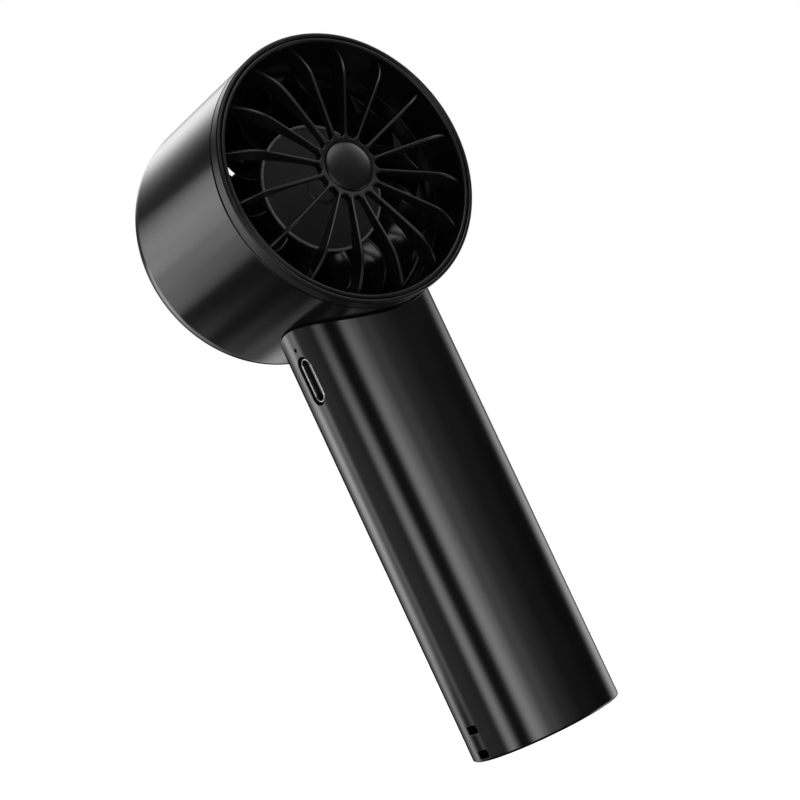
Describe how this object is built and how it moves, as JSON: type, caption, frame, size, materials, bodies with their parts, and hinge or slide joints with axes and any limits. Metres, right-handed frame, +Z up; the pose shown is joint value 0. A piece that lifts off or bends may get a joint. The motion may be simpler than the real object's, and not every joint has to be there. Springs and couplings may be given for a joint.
{
  "type": "hand-held turbo fan",
  "caption": "Hand-held fan: a round metal barrel head with a radial-rib grille and a spinning impeller on an oval tube handle with a charging port.",
  "frame": {"origin": "centre of the handle's flat bottom face", "axes": "+Z up along the handle, -Y out of the front grille, -X the side with the charging port"},
  "size_m": [0.0536, 0.045, 0.1371],
  "materials": {
    "black_metal": "fine satin anodised black",
    "black_plastic": "satin moulded",
    "inner_plastic": "smooth moulded",
    "blade_plastic": "polished moulded",
    "button_metal": "satin",
    "carrier_plastic": "moulded",
    "port_steel": "plated",
    "port_plastic": "moulded",
    "steel": "ground",
    "dark_steel": "blackened",
    "nickel": "plated strip",
    "copper": "enamelled wire",
    "board": "solder mask",
    "cell_wrap": "shrink sleeve",
    "clear_plastic": "clear light guide",
    "red_lead": "insulation",
    "black_lead": "insulation"
  },
  "bodies": {
    "fan_body": {"head_shell": "black_metal", "front_bezel": "black_plastic", "front_grille": "black_plastic", "grille_cap": "black_plastic", "duct_housing": "inner_plastic", "rear_grille": "black_plastic", "stator_frame": "inner_plastic", "stator_core": "dark_steel", "bearing_front": "steel", "bearing_rear": "steel", "motor_board": "board", "motor_cover": "inner_plastic", "coil_1": "copper", "coil_2": "copper", "coil_3": "copper", "coil_4": "copper", "coil_5": "copper", "coil_6": "copper", "coil_7": "copper", "coil_8": "copper", "coil_9": "copper", "handle_tube": "black_metal", "bottom_cap": "black_plastic", "battery_carrier": "carrier_plastic", "battery_cell": "cell_wrap", "battery_tab_top": "nickel", "battery_tab_bottom": "nickel", "main_board": "board", "usb_shell": "port_steel", "usb_tongue": "port_plastic", "switch_body": "dark_steel", "button_bezel": "button_metal", "indicator_led": "carrier_plastic", "light_pipe": "clear_plastic", "controller_chip": "port_plastic", "power_inductor": "dark_steel", "battery_lead_positive": "red_lead", "battery_lead_negative": "black_lead", "neck_screw_1": "steel", "neck_screw_2": "steel", "board_screw_1": "steel", "board_screw_2": "steel", "board_screw_3": "steel", "motor_lead_1": "red_lead", "motor_lead_2": "black_lead", "motor_lead_3": "red_lead"},
    "rotor": {"impeller": "blade_plastic", "rotor_can": "dark_steel", "magnet_ring": "dark_steel", "motor_shaft": "steel", "shaft_clip": "steel"},
    "button": {"power_button": "button_metal", "switch_plunger": "port_plastic"}
  },
  "joints": [
    {"name": "fan_spin", "type": "hinge", "parent": "fan_body", "child": "rotor", "pos_m": [0, 0, 0.1103], "axis": [0, 1, 0], "continuous": true},
    {"name": "button_press", "type": "slide", "parent": "fan_body", "child": "button", "axis": [0, -1, 0], "range_m": [0, 0.0004], "stiffness_N_per_m": 3000}
  ]
}
